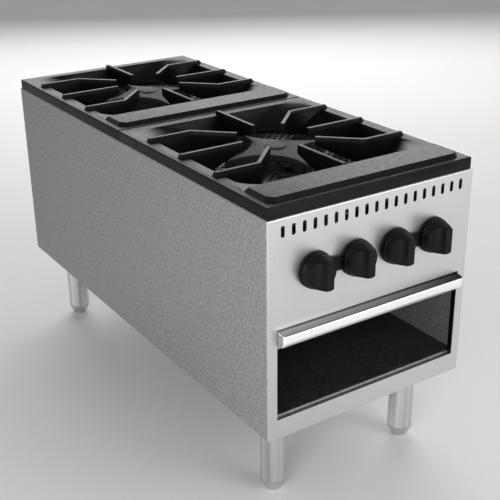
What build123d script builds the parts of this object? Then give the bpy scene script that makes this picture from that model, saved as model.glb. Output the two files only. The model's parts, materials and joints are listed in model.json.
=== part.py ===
from build123d import *
import math
import os

# Two-burner gas stock pot range, 18 in wide and 42 in deep, in millimetres.
# X runs across the front, Y from the front to the back and Z up from the floor.
# The origin is on the floor under the middle of the body.

# ---------------------------------------------------------------- driving dimensions
width = 457.2                 # outside width of the cast tops
depth = 1066.8                # outside depth of the two cast tops together
leg_height = 173.0            # floor to the underside of the body
body_height = 425.5           # underside of the body to the seat of the cast tops
sheet = 1.5                   # thickness of every folded sheet
bend = 2.5                    # outside radius of a fold
side_proud = 1.5              # side panel faces outside the edges of the cast tops
face_proud = 4.0              # front and rear faces outside the edges of the cast tops
seam = 1.0                    # gap between the front and rear cast tops
fit = 0.05                    # radial running clearance of a turning or sliding fit
clear = 0.3                   # clearance between pieces that move past each other

# cast tops
frame_height = 21.5           # outer wall of a cast top
cast_wall = 7.0
cast_round = 3.0
rail_front = 12.0             # raised plate: its foot starts here, behind the front edge
rail_depth = 76.0
rail_side = 13.0              # from the side edge of the cast top to the foot of the plate
rail_rise = 8.0
rail_draft = 35.0             # slope of the plate's edges, in degrees from upright
rail_corner = 14.0
well_front = 98.0             # front edge of a cast top to its well
well_back = 23.9              # well to the rear edge of its cast top
well_side = 27.1              # side edge of a cast top to its well
well_corner = 45.0
skirt_depth = 46.0
skirt_close = 15.0            # the skirt's lower rim inside the well's edge
skirt_mid = 26.0              # a section part of the way down the skirt
skirt_mid_close = 9.0
skirt_mid_corner = 130.0
skirt_round = 0.41            # corner of the skirt's lower rim, as a share of its width
finger_rise = 8.0
finger_top = 7.6
finger_waist = 9.2
finger_foot = 5.6
finger_tip_radius = 78.0
finger_tip_depth = 17.5
finger_slope = 0.36           # fall of a finger's lower edge, away from the centre
finger_edge = 9.5             # bare frame outside the end of a finger's rib
finger_draft = 30.0           # slope of a rib's outer end, in degrees from upright
corner_finger_offset = 122.5  # corner fingers leave the wall this far from the centre

# body panels
opening_side = 17.6           # side edge of the cast top to the cabinet opening
opening_base = 40.7           # bottom rail of the front panel
opening_height = 181.5
opening_return = 12.0
hem = 3.5                     # depth of the folded edge round the front panel
seat_fold = 16.0              # the front panel's top edge, folded back under the cast top
side_flange = 15.0
rear_flange = 13.0
vent_count = 19
vent_pitch = 22.2
vent_width = 8.0
vent_height = 21.0
vent_drop = 24.2              # centre of the vents below the seat of the cast tops
top_rail_web = 27.0
top_rail_depth = 30.0
rear_screw_inset = 25.0       # end screws of the rear corners from the panel's ends
pipe_hole_gap = 1.5           # round the supply pipe where it leaves the body

# controls
knob_pitch = 89.5
knob_drop = 108.0             # knob axis below the seat of the cast tops
knob_radius = 33.0
knob_nose = 24.5              # radius of the cone at its front
knob_depth = 46.0             # knob front from the face of the panel
knob_standoff = 7.5
knob_rim = 6.0
knob_edge = 1.0               # eased edges of the rim
knob_soft = 2.5               # rounded front edge
knob_wall = 4.0
knob_hollow = 5.0             # depth of the hollow behind the rim
knob_hub = 8.0
knob_front_wall = 11.0        # plastic in front of the stem's end
grip_half = 7.8               # half the thickness of the grip
scoop_radius = 21.5           # hollow cheeks beside the grip
stem_radius = 4.0
stem_flat = 2.5               # from the stem's axis to its flat
stem_gap = 1.0                # stem's end to the bottom of its socket
stem_seat = 13.0              # stem inside its valve, from the manifold's centre
bezel_radius = 34.0
bezel_thickness = 6.0
bezel_bar = 28.0

# tray and runners
tray_gap = 2.5                # panel edge to the top of the tray's nose
tray_height = 29.0
tray_wall_drop = 3.0          # side walls below the top of the nose
tray_side_gap = 6.0           # opening to the side of the tray
nose_side_gap = 0.8           # opening to the end of the tray's nose
nose_reach = 20.0             # nose in front of the panel
nose_fall = 3.4               # fall of the nose's top towards its front
nose_foot = 13.0              # flat underside of the nose in front of the panel
nose_foot_rise = 2.0
nose_front_rise = 11.5        # lower edge of the nose's front above the tray's base
nose_end_round = 8.0          # the ends of the nose, seen from above
nose_round = 3.5
tray_rear_gap = 26.0
runner_reach = 35.5           # from the side panel inwards
runner_upright = 22.0
runner_nose = 5.0
runner_back = 3.0             # round nose of a runner behind the face of the panel

# legs
leg_side = 67.0               # leg axis from the side of the cast top
leg_end = 80.0                # leg axis from the front or back of the cast top
leg_radius = 25.4
leg_wall = 1.6
leg_plate = 92.0
leg_plate_corner = 8.0
leg_plate_thickness = 4.0
leg_screw_inset = 10.0        # screws from the edges of the leg's plate
foot_height = 24.0
foot_radius = 17.0
foot_edge = 2.0
foot_shoulder = 8.0           # from the foot's round waist up to its top
foot_shoulder_step = 1.5
foot_spigot = 45.0
foot_spigot_wall = 3.4
base_rail_width = 100.0
base_rail_lip = 14.0
screw_radius = 2.0
screw_head = 2.4
screw_head_radius = 4.4
screw_length = 8.0

# burners
baffle_drop = 28.5            # top of the baffle below the seat of the cast tops
baffle_side = 6.0
baffle_margin = 6.5           # baffle beyond the front and back of the well
neck_gap = 2.0                # hole in the baffle round the burner's necks
burner_rail_offset = 90.0
burner_rail_leg = 22.0
arm_count = 4
arm_turn = 14.0               # the first arm's direction from +X, in degrees
arm_radius = 118.0
web_radius = 50.0
arm_tip_half = 7.0
burner_base = 22.0
port_gap = 2.0                # height of the slot that the flames come out of
port_inset = 4.0
cap_edge = 4.0
cap_crown = 12.0
cap_boss = 15.0
cap_boss_radius = 18.9
cap_crown_radius = 33.0
cap_boss_foot = 23.6
burner_wall = 5.0
neck_radius = 20.0
neck_drop = 18.0
neck_offset = 56.0
mixer_radius = 18.0
mixer_bore = 14.5
mixer_bend = 45.0
mixer_run = 75.0              # air mouth to the mixer's first bend
mouth_back = 81.4             # front edge of the range to the front air mouths
mouth_radius = 27.0
mouth_wall = 3.0
mouth_face = 2.0
mouth_flange = 8.0
mouth_cone = 30.0
window_inner = 12.0
window_outer = 23.0
window_slope = 0.9            # half width of an air window for its distance from the centre
shutter_rim = 6.0
shutter_wall = 2.0
orifice_gap = 8.0             # radius of the hole round the orifice spud

# gas train
pipe_radius = 13.35           # 3/4 in pipe
pipe_wall = 2.9
elbow_reach = 30.0
elbow_bend = 22.0
elbow_wall = 3.0
inlet_reach = 50.0            # the inlet stands behind the rear edge of the cast tops
thread_radius = 13.0          # the turned end of the inlet
thread_length = 20.0
manifold_drop = 37.5          # manifold axis below the knob axis
manifold_back = 43.4          # manifold axis behind the front edge
manifold_end = 34.0           # manifold beyond the first valve
manifold_plug = 4.0
supply_clearance = 4.25       # elbow to the right heat shield
bracket_half = 12.0
bracket_sheet = 3.0
bracket_shelf = 14.0          # bracket's shelf behind the manifold's axis
bracket_rise = 16.0
valve_radius = 13.0
valve_front = 20.0            # valve body in front of the manifold's axis
valve_back = 14.0
valve_hexagon = 15.0
valve_hexagon_front = 24.0
valve_hexagon_depth = 8.0
valve_outlet = 22.0
valve_outlet_radius = 9.0
valve_root_radius = 8.5
spud_back = 16.0              # spud's hexagon in front of its air mouth
spud_hexagon = 7.5
spud_hexagon_depth = 10.0
spud_nose = 12.0
spud_root_radius = 6.0
spud_tip_radius = 4.5
spud_bore = 1.2
holder_back = 26.0            # cross angle in front of the rear air mouths
holder_radius = 7.0
holder_hexagon = 10.0
holder_front = 12.0
holder_hexagon_depth = 7.0
cross_angle_sheet = 3.0
cross_angle_half = 16.0
cross_angle_top = 18.0
tube_radius = 4.75
tube_wall = 0.9
pilot_tube_radius = 3.175
pilot_tube_wall = 0.8
pilot_tube_bend = 14.0
pilot_tube_drop = 18.0        # pilot tubes below the angles that carry the burners
cock_radius = 5.5
cock_height = 20.0
cock_hexagon = 8.0
cock_screw_radius = 4.0
cock_screw_reach = 14.0
cock_screw_height = 12.0
pilot_reach = 75.0            # pilot from the burner's centre
pilot_turn = 59.0             # and its direction from +X, in degrees
pilot_radius = 6.0
pilot_height = 22.0
pilot_flange = 4.0
pilot_flange_depth = 2.0
pilot_slot_drop = 8.0
pilot_slot_width = 4.0
pilot_slot_height = 3.0
pilot_hole_gap = 0.5
shield_gap = 18.0
shield_top_gap = 3.0          # shield to the angle above it
shield_base_gap = 14.0        # shield above the top of the tray
shield_front_gap = 30.0
shield_rear_gap = 20.0

# ---------------------------------------------------------------- places worked out
front = -depth / 2
back = depth / 2
panel_face = front - face_proud
panel_back = panel_face + sheet
rear_face = back + face_proud
side_face = width / 2 + side_proud
side_inner = side_face - sheet
body_base = leg_height
seat = body_base + body_height
cast_top = seat + frame_height
section = (depth - seam) / 2
well_width = width - 2 * well_side
well_depth = section - well_front - well_back
well_centre = well_front + well_depth / 2
throat_corner = skirt_round * (min(well_width, well_depth) - 2 * skirt_close)
burner_y = [front + well_centre, back - section + well_centre]
knob_z = seat - knob_drop
knob_x = [knob_pitch * (n - 1.5) for n in range(4)]
floor_z = body_base + opening_base
opening_top = floor_z + opening_height
opening_half = width / 2 - opening_side
tray_half = opening_half - tray_side_gap
nose_half = opening_half - nose_side_gap
tray_top = opening_top - tray_gap
tray_base = tray_top - tray_height
baffle_top = seat - baffle_drop
manifold_z = knob_z - manifold_drop
manifold_y = front + manifold_back
supply_x = side_inner - shield_gap - supply_clearance - elbow_wall - pipe_radius
leg_x = width / 2 - leg_side
leg_y = depth / 2 - leg_end
floor_near = panel_face + opening_return + clear
floor_far = rear_face - sheet - rear_flange - clear
base_rail_inset = sheet + clear + base_rail_lip + base_rail_width / 2
base_rail_y = [floor_near + base_rail_inset, floor_far - base_rail_inset]
mouth_y = [front + mouth_back, front + mouth_back + (burner_y[1] - burner_y[0])]
neck_z = baffle_top - neck_drop
pilot_x = [0.0, knob_pitch]
pilot_angle = math.radians(pilot_turn)
pilot_spot = (pilot_reach * math.cos(pilot_angle), pilot_reach * math.sin(pilot_angle))
leg_screw_pitch = leg_plate - 2 * leg_screw_inset
cross_angle_y = mouth_y[1] - holder_back
holder_y = cross_angle_y - holder_front


# ---------------------------------------------------------------- helpers
def span(x, y, z):
    """A block between two values on each axis."""
    size = [abs(pair[1] - pair[0]) for pair in (x, y, z)]
    middle = [(pair[0] + pair[1]) / 2 for pair in (x, y, z)]
    return Pos(*middle) * Box(*size)


def rod(start, end, radius):
    """A round bar from one point to another."""
    run = Vector(*end) - Vector(*start)
    return Plane(origin=start, z_dir=run).location * Cylinder(
        radius, run.length, align=(Align.CENTER, Align.CENTER, Align.MIN)
    )


def pan(across, along, reach):
    """A sheet in the XY plane, facing +Z, with its four edges folded back by reach."""
    base = (Align.CENTER, Align.CENTER, Align.MAX)
    outside = Box(across, along, reach, align=base)
    face_edges = outside.edges().group_by(Axis.Z)[-1]
    corner_edges = outside.edges().filter_by(Axis.Z)
    outside = fillet(face_edges + corner_edges, bend)
    inside = Pos(0, 0, -sheet) * Box(across - 2 * sheet, along - 2 * sheet, reach, align=base)
    inside = fillet(inside.edges().filter_by(Axis.Z), bend - sheet)
    return outside - inside


def facing(direction, origin, x_dir):
    """The place of a sheet whose +Z face looks along direction."""
    return Plane(origin=origin, x_dir=x_dir, z_dir=direction).location


def screw():
    """A domed screw whose head sits on the XY plane."""
    head = Pos(0, 0, screw_head / 2) * Cylinder(screw_head_radius, screw_head)
    head = chamfer(head.edges().group_by(Axis.Z)[-1], screw_head / 2)
    return head + Pos(0, 0, -screw_length / 2) * Cylinder(screw_radius, screw_length)


def leg_screw_places():
    """Four places under the corners of each leg's plate, looking down."""
    return [
        Pos(x, y, body_base + sheet - leg_plate_thickness) * corner * Rot(180, 0, 0)
        for x, y in leg_places()
        for corner in GridLocations(leg_screw_pitch, leg_screw_pitch, 2, 2)
    ]


def rear_screw_places():
    """Three places up each rear corner, looking back."""
    rows = (body_base + rear_screw_inset, (body_base + seat) / 2, seat - rear_screw_inset)
    return [
        facing((0, 1, 0), (side * (side_face - side_flange / 2), rear_face, z), (1, 0, 0))
        for side in (-1, 1)
        for z in rows
    ]


def save(name, *pieces):
    """One STEP file for a node, whether it is one solid or a group of equal ones."""
    shape = pieces[0] if len(pieces) == 1 else Compound(children=list(pieces))
    export_step(shape, f"parts/{name}.step")


# ---------------------------------------------------------------- cast tops
def funnel(grow):
    """The well's skirt: a rounded square at the top that closes to nearly a circle below."""
    steps = [
        (0.0, 0.0, well_corner),
        (skirt_mid, skirt_mid_close, skirt_mid_corner),
        (skirt_depth, skirt_close, throat_corner),
    ]
    rings = [
        Pos(0, 0, -drop)
        * RectangleRounded(
            well_width - 2 * close + 2 * grow, well_depth - 2 * close + 2 * grow, corner + grow
        )
        for drop, close, corner in steps
    ]
    return loft(rings)


def finger(points):
    """A tapered iron bar that follows the points in plan, with its top above the frame."""
    low = -skirt_depth - finger_rise
    outline = Polygon(
        (-finger_top / 2, finger_rise),
        (-finger_waist / 2, 0),
        (-finger_foot / 2, low),
        (finger_foot / 2, low),
        (finger_waist / 2, 0),
        (finger_top / 2, finger_rise),
        align=None,
    )
    path = Polyline(*[(x, y, 0) for x, y in points])
    start = Vector(*points[0], 0)
    heading = (path % 0).normalized()
    plane = Plane(origin=start, x_dir=Vector(0, 0, 1).cross(heading), z_dir=heading)
    return sweep(plane * outline, path=path, transition=Transition.RIGHT)


def fingers():
    """Eight bars round the burner: four straight, and four that turn towards the middle."""
    side_end = width / 2
    back_end = section - well_centre
    diagonal = finger_tip_radius / math.sqrt(2)
    bars = [
        finger([(-side_end, 0), (-finger_tip_radius, 0)]),
        finger([(side_end, 0), (finger_tip_radius, 0)]),
        finger([(0, back_end), (0, finger_tip_radius)]),
        finger([(0, rail_front + rail_depth / 2 - well_centre), (0, -finger_tip_radius)]),
    ]
    for sx in (-1, 1):
        for sy in (-1, 1):
            offset = corner_finger_offset
            bars.append(
                finger(
                    [
                        (sx * side_end, sy * offset),
                        (sx * offset, sy * offset),
                        (sx * diagonal, sy * diagonal),
                    ]
                )
            )
    bars = Part() + bars
    ribs = bars & extrude(
        Rectangle(2 * (side_end - finger_edge), 2 * (back_end - finger_edge)),
        finger_rise,
        taper=finger_draft,
    )
    blades = bars & funnel(cast_wall / 2)
    under_top = finger_rise - finger_tip_depth + finger_slope * finger_waist
    under_radius = finger_tip_radius - finger_waist
    fall = skirt_depth + finger_rise + under_top
    under = Pos(0, 0, under_top) * Cone(
        under_radius + fall / finger_slope, under_radius, fall,
        align=(Align.CENTER, Align.CENTER, Align.MAX),
    )
    return ribs + (blades - under)


def cast_top_section():
    """One casting, with its origin at the burner's centre on the upper face of the frame."""
    near = -well_centre
    far = section - well_centre
    frame = span((-width / 2, width / 2), (near, far), (-frame_height, 0))
    frame = fillet(frame.edges().group_by(Axis.Z)[-1] + frame.edges().filter_by(Axis.Z), cast_round)
    frame -= span(
        (-width / 2 + cast_wall, width / 2 - cast_wall),
        (near + cast_wall, far - cast_wall),
        (-frame_height, -cast_wall),
    )
    frame += funnel(cast_wall) & span(
        (-width / 2 + cast_wall, width / 2 - cast_wall),
        (near + cast_wall, far - cast_wall),
        (-skirt_depth, -cast_wall / 2),
    )
    half = width / 2 - rail_side
    rail = Polygon(
        (-half, near + rail_front + rail_depth),
        (-half, near + rail_front + rail_corner),
        (-half + rail_corner, near + rail_front),
        (half - rail_corner, near + rail_front),
        (half, near + rail_front + rail_corner),
        (half, near + rail_front + rail_depth),
        align=None,
    )
    frame += extrude(rail, rail_rise, taper=rail_draft)
    mouth = extrude(RectangleRounded(well_width, well_depth, well_corner), 1)
    throat = Pos(0, 0, -skirt_depth) * extrude(
        RectangleRounded(well_width - 2 * skirt_close, well_depth - 2 * skirt_close, throat_corner), -1
    )
    frame -= funnel(0) + mouth + throat
    return frame + fingers()


# ---------------------------------------------------------------- body
def side_panel(side):
    length = rear_face - (panel_face + hem + clear)
    middle_y = (rear_face + panel_face + hem + clear) / 2
    place = facing((side, 0, 0), (side * side_face, middle_y, body_base + body_height / 2), (0, 1, 0))
    panel = place * pan(length, body_height, side_flange)
    for hole in rear_screw_places():
        panel -= hole * Cylinder(screw_radius + fit, 20)
    return panel


def front_panel():
    place = facing((0, -1, 0), (0, panel_face, body_base + body_height / 2), (1, 0, 0))
    panel = place * pan(2 * side_face, body_height, hem)
    through = (panel_face - 1, panel_back + 1)
    panel -= span((-opening_half, opening_half), through, (floor_z, opening_top))
    behind = (panel_face + sheet / 2, panel_face + opening_return)
    surround = span(
        (-opening_half - sheet, opening_half + sheet), behind, (floor_z, opening_top + sheet)
    )
    panel += surround - span((-opening_half, opening_half), behind, (floor_z, opening_top))
    fold_half = side_face - side_flange - clear
    panel += span(
        (-fold_half, fold_half), (panel_face + hem / 2, panel_face + seat_fold), (seat - sheet, seat)
    )
    vents = [
        Pos(vent_pitch * (n - (vent_count - 1) / 2), seat - vent_drop)
        * SlotOverall(vent_height, vent_width, rotation=90)
        for n in range(vent_count)
    ]
    stems = [Pos(x, knob_z) * Circle(2.5 * stem_radius) for x in knob_x]
    sheet_plane = Plane(origin=(0, panel_back + 1, 0), x_dir=(1, 0, 0), z_dir=(0, -1, 0))
    return panel - extrude(sheet_plane * (Sketch() + vents + stems), sheet + 2)


def rear_panel():
    inner = side_inner - clear
    base = body_base + sheet
    top = seat - sheet
    place = facing((0, 1, 0), (0, rear_face - sheet, (base + top) / 2), (1, 0, 0))
    panel = place * pan(2 * inner, top - base, rear_flange)
    panel -= rod(
        (supply_x, rear_face - 2 * rear_flange, manifold_z),
        (supply_x, rear_face + sheet, manifold_z),
        pipe_radius + pipe_hole_gap,
    )
    for place in rear_screw_places():
        panel -= place * Cylinder(screw_radius + fit, 20)
    return panel


def floor_pan():
    """The cabinet floor, whose folded edges stand on the side panels' lower flanges."""
    middle = (0, (floor_near + floor_far) / 2, floor_z)
    return Pos(*middle) * pan(2 * side_inner, floor_far - floor_near, opening_base - sheet)


def channel(length, flange, web, lip=0.0):
    """A folded channel along X, open below, with its web on top at Z = 0."""
    outline = Rectangle(web, flange, align=(Align.CENTER, Align.MAX))
    outline -= Pos(0, -sheet) * Rectangle(web - 2 * sheet, flange, align=(Align.CENTER, Align.MAX))
    for side in (-1, 1) if lip else ():
        outline += Pos(side * (web / 2 + lip / 2 - sheet / 2), -flange) * Rectangle(
            lip + sheet, sheet, align=(Align.CENTER, Align.MIN)
        )
    return extrude(Plane.YZ * outline, length / 2, both=True)


def base_rails():
    """Two hat channels under the floor, which the legs screw to."""
    length = 2 * (side_inner - sheet - clear)
    hat = Rot(180, 0, 0) * channel(length, opening_base - 2 * sheet, base_rail_width, base_rail_lip)
    pieces = []
    for y in base_rail_y:
        rail = Pos(0, y, body_base + sheet) * hat
        for place in leg_screw_places():
            rail -= place * Cylinder(screw_radius + fit, 2 * screw_length)
        pieces.append(rail)
    return pieces


def top_rails():
    """Cross members behind the front panel and under the seam of the cast tops."""
    front_rail = Pos(0, panel_face + hem + side_flange + clear + top_rail_web / 2, seat)
    rail = channel(2 * (side_face - side_flange), top_rail_depth, top_rail_web)
    return [front_rail * rail, Pos(0, 0, seat) * rail]


def burner_rails():
    """Four angles from side to side, which carry the baffles and the burners."""
    outline = Rectangle(burner_rail_leg, 2 * sheet, align=(Align.CENTER, Align.MAX))
    outline += Pos(-burner_rail_leg / 2 + sheet, 0) * Rectangle(
        2 * sheet, burner_rail_leg, align=(Align.CENTER, Align.MAX)
    )
    angle = extrude(Plane.YZ * outline, side_inner, both=True)
    return [
        Pos(0, y + side * burner_rail_offset, baffle_top - sheet) * angle
        for y in burner_y
        for side in (-1, 1)
    ]


def baffle(y):
    """The sheet under the well, open round the burner's two necks and the pilot."""
    half = side_inner - baffle_side
    reach = well_depth / 2 + baffle_margin
    plate = span((-half, half), (y - reach, y + reach), (baffle_top - sheet, baffle_top))
    hole = 2 * (neck_radius + neck_gap)
    necks = Pos(0, y - neck_offset / 2, baffle_top) * extrude(
        SlotOverall(neck_offset + hole, hole, rotation=90), 2 * sheet, both=True
    )
    pilot = Pos(pilot_spot[0], y + pilot_spot[1], baffle_top) * Cylinder(
        pilot_tube_radius + pilot_hole_gap, 4 * sheet
    )
    return plate - necks - pilot


def heat_shield(side):
    """A shallow sheet that keeps the burners' heat off a side panel."""
    top = baffle_top - sheet - burner_rail_leg - shield_top_gap
    base = tray_top + shield_base_gap
    near = panel_face + opening_return + shield_front_gap
    far = rear_face - rear_flange - shield_rear_gap
    inner = side_inner - shield_gap
    place = facing((-side, 0, 0), (side * inner, (near + far) / 2, (base + top) / 2), (0, 1, 0))
    return place * pan(far - near, top - base, shield_gap)


# ---------------------------------------------------------------- burners
def star(reach, web):
    """Four pointed arms with hollow sides between them."""
    step = 2 * math.pi / arm_count
    edges = []
    for n in range(arm_count):
        angle = math.radians(arm_turn) + n * step
        ahead = Vector(math.cos(angle), math.sin(angle))
        aside = Vector(-math.sin(angle), math.cos(angle))
        right = ahead * (reach - arm_tip_half) - aside * arm_tip_half
        left = ahead * (reach - arm_tip_half) + aside * arm_tip_half
        edges.append(ThreePointArc(right, ahead * reach, left))
        following = angle + step
        next_ahead = Vector(math.cos(following), math.sin(following))
        next_aside = Vector(-math.sin(following), math.cos(following))
        next_right = next_ahead * (reach - arm_tip_half) - next_aside * arm_tip_half
        middle = Vector(math.cos(angle + step / 2), math.sin(angle + step / 2)) * web
        edges.append(ThreePointArc(left, middle, next_right))
    return make_face(Curve() + edges)


def burner_body(y):
    """The lower casting: a hollow star with two necks for its mixer tubes."""
    outline = star(arm_radius, web_radius)
    hollow = star(arm_radius - 2 * burner_wall, web_radius - burner_wall)
    body = extrude(outline, burner_base - port_gap)
    body += Pos(0, 0, burner_base - port_gap) * extrude(
        star(arm_radius - 1.6 * port_inset, web_radius - port_inset), port_gap
    )
    body -= Pos(0, 0, burner_wall) * extrude(hollow, burner_base)
    for offset in (0, -neck_offset):
        body += Pos(0, offset, 0) * Cylinder(
            neck_radius, neck_drop, align=(Align.CENTER, Align.CENTER, Align.MAX)
        )
        body -= Pos(0, offset, 2 * burner_wall) * Cylinder(
            mixer_bore, neck_drop + 3 * burner_wall, align=(Align.CENTER, Align.CENTER, Align.MAX)
        )
    return Pos(0, y, baffle_top) * body


def burner_cap(y):
    """The upper casting: the same star, falling away from its crown to its tips."""
    crown = Polygon(
        (0, 0), (arm_radius, 0), (arm_radius, cap_edge), (cap_crown_radius, cap_crown),
        (cap_boss_foot, cap_crown), (cap_boss_radius, cap_boss), (0, cap_boss),
        align=None,
    )
    cap = extrude(star(arm_radius, web_radius), cap_boss) & revolve(Plane.XZ * crown, Axis.Z)
    return Pos(0, y, baffle_top + burner_base) * cap


def mixer(valve_x, neck_y, y, mouth):
    """A tube from the air mouth behind its valve to a neck of the burner."""
    path = FilletPolyline(
        (valve_x, mouth + mouth_flange, knob_z),
        (valve_x, mouth + mixer_run, knob_z),
        (0, y + neck_y, knob_z),
        (0, y + neck_y, neck_z),
        radius=mixer_bend,
    )
    start = Plane(origin=path @ 0, z_dir=path % 0)
    tube = sweep(start * (Circle(mixer_radius) - Circle(mixer_bore)), path=path)
    bell_end = mouth_flange + mouth_cone
    bell = Polygon(
        (mixer_bore, bell_end), (mixer_radius + 1, bell_end), (mouth_radius, mouth_flange),
        (mouth_radius, 0), (mouth_radius - mouth_wall, 0), (mouth_radius - mouth_wall, mouth_flange),
        align=None,
    )
    throat = facing((0, 1, 0), (valve_x, mouth, knob_z), (1, 0, 0))
    tube += throat * revolve(Plane.XZ * bell, Axis.Z)
    tube -= throat * Cylinder(mixer_bore, bell_end, align=(Align.CENTER, Align.CENTER, Align.MIN))
    face = Circle(mouth_radius - mouth_wall / 2) - Circle(orifice_gap) - windows()
    return tube + throat * extrude(face, mouth_face)


def windows():
    """Two air windows, a quarter turn each."""
    ring = Circle(window_outer) - Circle(window_inner)
    reach = 2 * window_outer
    quarter = Polygon((0, 0), (reach, -window_slope * reach), (reach, window_slope * reach), align=None)
    return (ring & quarter) + (ring & Rot(0, 0, 180) * quarter)


def air_shutter(valve_x, mouth):
    """A turning cup over the mouth, with windows like those behind it."""
    outside = Circle(mouth_radius + shutter_wall)
    disc = extrude(outside - Circle(orifice_gap) - windows(), sheet)
    rim = extrude(outside - Circle(mouth_radius + fit), shutter_rim)
    place = facing((0, 1, 0), (valve_x, mouth - clear - sheet, knob_z), (1, 0, 0))
    return place * (disc + rim)


# ---------------------------------------------------------------- gas train
def valve(x):
    """A brass plug valve screwed into the top of the manifold."""
    outlet = manifold_y + valve_outlet
    body = rod((x, manifold_y - valve_front, knob_z), (x, manifold_y + valve_back, knob_z), valve_radius)
    hexagon = extrude(RegularPolygon(valve_hexagon, 6), valve_hexagon_depth)
    body += facing((0, 1, 0), (x, manifold_y - valve_hexagon_front, knob_z), (1, 0, 0)) * hexagon
    body += rod((x, manifold_y, knob_z), (x, outlet, knob_z), valve_outlet_radius)
    body += rod((x, manifold_y, knob_z), (x, manifold_y, manifold_z), valve_root_radius)
    pipe_end = 3 * valve_radius
    body -= rod((x - pipe_end, manifold_y, manifold_z), (x + pipe_end, manifold_y, manifold_z), pipe_radius)
    bore = (x, manifold_y - stem_seat + stem_gap, knob_z)
    return body - rod((x, manifold_y - 2 * valve_front, knob_z), bore, stem_radius + fit)


def stem(x):
    """The valve's spindle, flat on one side where the knob grips it."""
    tip = panel_face - knob_depth + knob_front_wall + stem_gap
    shaft = rod((x, manifold_y - stem_seat, knob_z), (x, tip, knob_z), stem_radius)
    side = 2 * stem_radius
    return shaft - span(
        (x + stem_flat, x + side),
        (tip - stem_gap, panel_face - knob_standoff - knob_hollow / 2),
        (knob_z - side, knob_z + side),
    )


def knob(x):
    """A cone on a round skirt, hollowed at both sides so that an upright grip is left."""
    rim_front = knob_standoff + knob_rim
    outline = Polyline(
        (0, knob_depth), (knob_nose, knob_depth), (knob_radius - knob_edge, rim_front),
        (knob_radius, rim_front - knob_edge), (knob_radius, knob_standoff + knob_edge),
        (knob_radius - knob_edge, knob_standoff), (0, knob_standoff), close=True,
    )
    body = revolve(Plane.XZ * make_face(outline), Axis.Z)
    body = fillet(body.edges().group_by(Axis.Z)[-1], knob_soft)
    cheek = Rot(90, 0, 0) * Cylinder(scoop_radius, 3 * knob_radius)
    for side in (-1, 1):
        body -= Pos(side * (grip_half + scoop_radius), 0, knob_depth) * cheek
    low = (Align.CENTER, Align.CENTER, Align.MIN)
    hollow = Cylinder(knob_radius - knob_wall, knob_hollow, align=low)
    hollow -= Cylinder(knob_hub, knob_hollow, align=low)
    body -= Pos(0, 0, knob_standoff) * hollow
    socket = Cylinder(stem_radius + fit, knob_depth - knob_front_wall, align=low)
    side = 2 * stem_radius
    flat_base = knob_standoff + knob_hollow / 2
    socket -= span((stem_flat + fit, side), (-side, side), (flat_base, knob_depth))
    return facing((0, -1, 0), (x, panel_face, knob_z), (1, 0, 0)) * (body - socket)


def bezel(left_x, right_x):
    """The plate behind a pair of knobs: two round pads joined by a bar."""
    outline = Pos(left_x, knob_z) * Circle(bezel_radius)
    outline += Pos(right_x, knob_z) * Circle(bezel_radius)
    outline += Pos((left_x + right_x) / 2, knob_z) * Rectangle(right_x - left_x, bezel_bar)
    for x in (left_x, right_x):
        outline -= Pos(x, knob_z) * Circle(2 * stem_radius)
    plane = Plane(origin=(0, panel_face, 0), x_dir=(1, 0, 0), z_dir=(0, -1, 0))
    return extrude(plane * outline, bezel_thickness)


def manifold():
    """The cross pipe that feeds the valves and the pilots, closed at its left end."""
    left = knob_x[0] - manifold_end
    end = (supply_x - elbow_reach, manifold_y, manifold_z)
    pipe = rod((left, manifold_y, manifold_z), end, pipe_radius)
    return pipe - rod((left + manifold_plug, manifold_y, manifold_z), end, pipe_radius - pipe_wall)


def elbow():
    """The fitting that turns the supply from the side run to the manifold."""
    path = FilletPolyline(
        (supply_x - elbow_reach, manifold_y, manifold_z), (supply_x, manifold_y, manifold_z),
        (supply_x, manifold_y + elbow_reach, manifold_z), radius=elbow_bend,
    )
    start = Plane(origin=path @ 0, z_dir=path % 0)
    return sweep(start * (Circle(pipe_radius + elbow_wall) - Circle(pipe_radius - pipe_wall)), path=path)


def supply_pipe():
    """The pipe down the right side, whose rear end is turned down for its thread."""
    start = (supply_x, manifold_y + elbow_reach, manifold_z)
    thread = (supply_x, back + inlet_reach - thread_length, manifold_z)
    end = (supply_x, back + inlet_reach, manifold_z)
    pipe = rod(start, thread, pipe_radius) + rod(thread, end, thread_radius)
    return pipe - rod(start, end, pipe_radius - pipe_wall)


def manifold_brackets():
    """Two folded straps that hold the manifold to the back of the front panel."""
    shelf_z = manifold_z - pipe_radius
    pieces = []
    for x in (-knob_pitch, knob_pitch):
        across = (x - bracket_half, x + bracket_half)
        base = shelf_z - bracket_sheet
        strap = span(across, (panel_back, manifold_y + bracket_shelf), (base, shelf_z))
        strap += span(across, (panel_back, panel_back + bracket_sheet), (base, manifold_z + bracket_rise))
        pieces.append(strap)
    return pieces


def orifice_spuds():
    """Four hexagon spuds whose noses reach into the air mouths."""
    pieces = []
    for n, x in enumerate(knob_x):
        place = facing((0, 1, 0), (x, mouth_y[n // 2] - spud_back, knob_z), (1, 0, 0))
        body = extrude(RegularPolygon(spud_hexagon, 6), spud_hexagon_depth)
        body += Pos(0, 0, spud_hexagon_depth) * Cone(
            spud_root_radius, spud_tip_radius, spud_nose, align=(Align.CENTER, Align.CENTER, Align.MIN)
        )
        pieces.append(place * (body - Cylinder(spud_bore, 4 * spud_nose)))
    return pieces


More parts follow.
